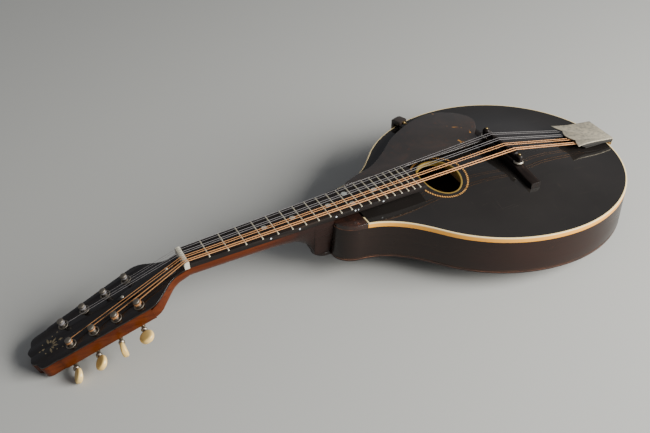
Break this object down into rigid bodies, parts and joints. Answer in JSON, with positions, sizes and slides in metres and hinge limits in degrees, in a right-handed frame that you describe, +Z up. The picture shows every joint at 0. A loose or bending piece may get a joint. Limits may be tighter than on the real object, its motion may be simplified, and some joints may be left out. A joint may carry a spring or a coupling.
{
  "type": "mandolin",
  "caption": "Teardrop-body flat-lying mandolin with carved top, oval soundhole, tapered peghead, geared tuners, adjustable bridge and slide-off tailpiece cover.",
  "frame": {"origin": "centre of the bounding box at the plane the instrument lies on, back down", "axes": "+X along the strings from the peghead to the tail, +Y to the treble side, +Z up out of the soundboard"},
  "size_m": [0.6558, 0.256, 0.0872],
  "materials": {
    "black_lacquer": "gloss black lacquer over carved spruce",
    "black_celluloid": "polished black",
    "rim_finish": "dark brown satin stain and varnish",
    "mahogany": "red-brown varnish, darker towards the heel",
    "spruce": "bare",
    "ebony": "oiled",
    "cream_binding": "aged, polished",
    "ivoroid": "aged, grained, polished",
    "bone": "satin",
    "steel": "satin",
    "wound_bronze": "close wound",
    "plain_steel": "drawn",
    "nickel": "aged nickel plate",
    "brass": "tarnished",
    "tortoise": "dark mottled, polished"
  },
  "bodies": {
    "mandolin": {"fingerboard": "ebony", "nut": "bone", "truss_rod": "steel", "peghead_veneer": "ebony", "truss_rod_cover": "black_celluloid", "cover_screw_1": "nickel", "cover_screw_2": "nickel", "tuner_plate_treble": "nickel", "tuner_plate_bass": "nickel", "top_plate": "black_lacquer", "back_plate": "rim_finish", "rim_bass": "rim_finish", "top_lining_bass": "spruce", "back_lining_bass": "spruce", "rim_treble": "rim_finish", "top_lining_treble": "spruce", "back_lining_treble": "spruce", "head_block": "mahogany", "tail_block": "mahogany", "cross_brace": "spruce", "top_binding": "cream_binding", "soundhole_binding": "ivoroid", "neck": "mahogany", "bridge_base": "ebony", "bridge_post_bass": "brass", "bridge_post_treble": "brass", "tailpiece_base": "nickel", "end_pin": "ebony", "pickguard": "tortoise", "pickguard_clamp": "tortoise", "pickguard_stud": "brass", "string_g1": "wound_bronze", "string_g2": "wound_bronze", "string_d1": "wound_bronze", "string_d2": "wound_bronze", "string_a1": "plain_steel", "string_a2": "plain_steel", "string_e1": "plain_steel", "string_e2": "plain_steel"},
    "saddle": {"bridge_saddle": "ebony"},
    "thumbwheel_bass": {"thumbwheel_bass": "nickel"},
    "thumbwheel_treble": {"thumbwheel_treble": "nickel"},
    "tailpiece_cover": {"tailpiece_cover": "nickel"},
    "truss_rod_nut": {"truss_rod_nut": "brass"},
    "string_post_e1": {"string_post_e1": "steel"},
    "tuner_key_e1": {"tuner_key_e1": "ivoroid"},
    "string_post_e2": {"string_post_e2": "steel"},
    "tuner_key_e2": {"tuner_key_e2": "ivoroid"},
    "string_post_a1": {"string_post_a1": "steel"},
    "tuner_key_a1": {"tuner_key_a1": "ivoroid"},
    "string_post_a2": {"string_post_a2": "steel"},
    "tuner_key_a2": {"tuner_key_a2": "ivoroid"},
    "string_post_g1": {"string_post_g1": "steel"},
    "tuner_key_g1": {"tuner_key_g1": "ivoroid"},
    "string_post_g2": {"string_post_g2": "steel"},
    "tuner_key_g2": {"tuner_key_g2": "ivoroid"},
    "string_post_d1": {"string_post_d1": "steel"},
    "tuner_key_d1": {"tuner_key_d1": "ivoroid"},
    "string_post_d2": {"string_post_d2": "steel"},
    "tuner_key_d2": {"tuner_key_d2": "ivoroid"}
  },
  "joints": [
    {"name": "saddle_height", "type": "slide", "parent": "mandolin", "child": "saddle", "axis": [0.0472, 0, 0.9989], "range_m": [-0.001, 0.0025], "deforming": ["string_g1", "string_g2", "string_d1", "string_d2", "string_a1", "string_a2", "string_e1", "string_e2"]},
    {"name": "thumbwheel_bass_turn", "type": "hinge", "parent": "saddle", "child": "thumbwheel_bass", "pos_m": [0.18082, -0.029, 0.07766], "axis": [0.0472, 0, 0.9989], "range_deg": [-451, 1126]},
    {"name": "thumbwheel_treble_turn", "type": "hinge", "parent": "saddle", "child": "thumbwheel_treble", "pos_m": [0.18082, 0.029, 0.07766], "axis": [0.0472, 0, 0.9989], "range_deg": [-451, 1126]},
    {"name": "cover_slide", "type": "slide", "parent": "mandolin", "child": "tailpiece_cover", "axis": [0.9989, 0, -0.0472], "range_m": [0, 0.045]},
    {"name": "truss_rod_nut_turn", "type": "hinge", "parent": "mandolin", "child": "truss_rod_nut", "pos_m": [-0.18345, 0, 0.05889], "axis": [0.9996, 0, 0.0279], "range_deg": [-180, 180]},
    {"name": "string_post_e1_turn", "type": "hinge", "parent": "mandolin", "child": "string_post_e1", "pos_m": [-0.22545, 0.02, 0.04974], "axis": [-0.3321, 0, 0.9432], "continuous": true},
    {"name": "tuner_key_e1_turn", "type": "hinge", "parent": "mandolin", "child": "tuner_key_e1", "pos_m": [-0.2263, 0.01937, 0.03025], "axis": [-0.0817, 0.9962, -0.0288], "continuous": true},
    {"name": "string_post_e2_turn", "type": "hinge", "parent": "mandolin", "child": "string_post_e2", "pos_m": [-0.24716, 0.018, 0.04209], "axis": [-0.3321, 0, 0.9432], "continuous": true},
    {"name": "tuner_key_e2_turn", "type": "hinge", "parent": "mandolin", "child": "tuner_key_e2", "pos_m": [-0.24801, 0.01737, 0.02261], "axis": [-0.0817, 0.9962, -0.0288], "continuous": true},
    {"name": "string_post_a1_turn", "type": "hinge", "parent": "mandolin", "child": "string_post_a1", "pos_m": [-0.26887, 0.016, 0.03445], "axis": [-0.3321, 0, 0.9432], "continuous": true},
    {"name": "tuner_key_a1_turn", "type": "hinge", "parent": "mandolin", "child": "tuner_key_a1", "pos_m": [-0.26971, 0.01537, 0.01496], "axis": [-0.0817, 0.9962, -0.0288], "continuous": true},
    {"name": "string_post_a2_turn", "type": "hinge", "parent": "mandolin", "child": "string_post_a2", "pos_m": [-0.29057, 0.014, 0.02681], "axis": [-0.3321, 0, 0.9432], "continuous": true},
    {"name": "tuner_key_a2_turn", "type": "hinge", "parent": "mandolin", "child": "tuner_key_a2", "pos_m": [-0.29142, 0.01337, 0.00732], "axis": [-0.0817, 0.9962, -0.0288], "continuous": true},
    {"name": "string_post_g1_turn", "type": "hinge", "parent": "mandolin", "child": "string_post_g1", "pos_m": [-0.22545, -0.02, 0.04974], "axis": [-0.3321, 0, 0.9432], "continuous": true},
    {"name": "tuner_key_g1_turn", "type": "hinge", "parent": "mandolin", "child": "tuner_key_g1", "pos_m": [-0.2263, -0.01937, 0.03025], "axis": [-0.0817, -0.9962, -0.0288], "continuous": true},
    {"name": "string_post_g2_turn", "type": "hinge", "parent": "mandolin", "child": "string_post_g2", "pos_m": [-0.24716, -0.018, 0.04209], "axis": [-0.3321, 0, 0.9432], "continuous": true},
    {"name": "tuner_key_g2_turn", "type": "hinge", "parent": "mandolin", "child": "tuner_key_g2", "pos_m": [-0.24801, -0.01737, 0.02261], "axis": [-0.0817, -0.9962, -0.0288], "continuous": true},
    {"name": "string_post_d1_turn", "type": "hinge", "parent": "mandolin", "child": "string_post_d1", "pos_m": [-0.26887, -0.016, 0.03445], "axis": [-0.3321, 0, 0.9432], "continuous": true},
    {"name": "tuner_key_d1_turn", "type": "hinge", "parent": "mandolin", "child": "tuner_key_d1", "pos_m": [-0.26971, -0.01537, 0.01496], "axis": [-0.0817, -0.9962, -0.0288], "continuous": true},
    {"name": "string_post_d2_turn", "type": "hinge", "parent": "mandolin", "child": "string_post_d2", "pos_m": [-0.29057, -0.014, 0.02681], "axis": [-0.3321, 0, 0.9432], "continuous": true},
    {"name": "tuner_key_d2_turn", "type": "hinge", "parent": "mandolin", "child": "tuner_key_d2", "pos_m": [-0.29142, -0.01337, 0.00732], "axis": [-0.0817, -0.9962, -0.0288], "continuous": true}
  ],
  "couplings": [
    {"joint": "thumbwheel_bass_turn", "follows": "saddle_height", "rad_per_m": 7854},
    {"joint": "thumbwheel_treble_turn", "follows": "saddle_height", "rad_per_m": 7854},
    {"joint": "string_post_e1_turn", "follows": "tuner_key_e1_turn", "ratio": 0.071429},
    {"joint": "string_post_e2_turn", "follows": "tuner_key_e2_turn", "ratio": 0.071429},
    {"joint": "string_post_a1_turn", "follows": "tuner_key_a1_turn", "ratio": 0.071429},
    {"joint": "string_post_a2_turn", "follows": "tuner_key_a2_turn", "ratio": 0.071429},
    {"joint": "string_post_g1_turn", "follows": "tuner_key_g1_turn", "ratio": -0.071429},
    {"joint": "string_post_g2_turn", "follows": "tuner_key_g2_turn", "ratio": -0.071429},
    {"joint": "string_post_d1_turn", "follows": "tuner_key_d1_turn", "ratio": -0.071429},
    {"joint": "string_post_d2_turn", "follows": "tuner_key_d2_turn", "ratio": -0.071429}
  ]
}
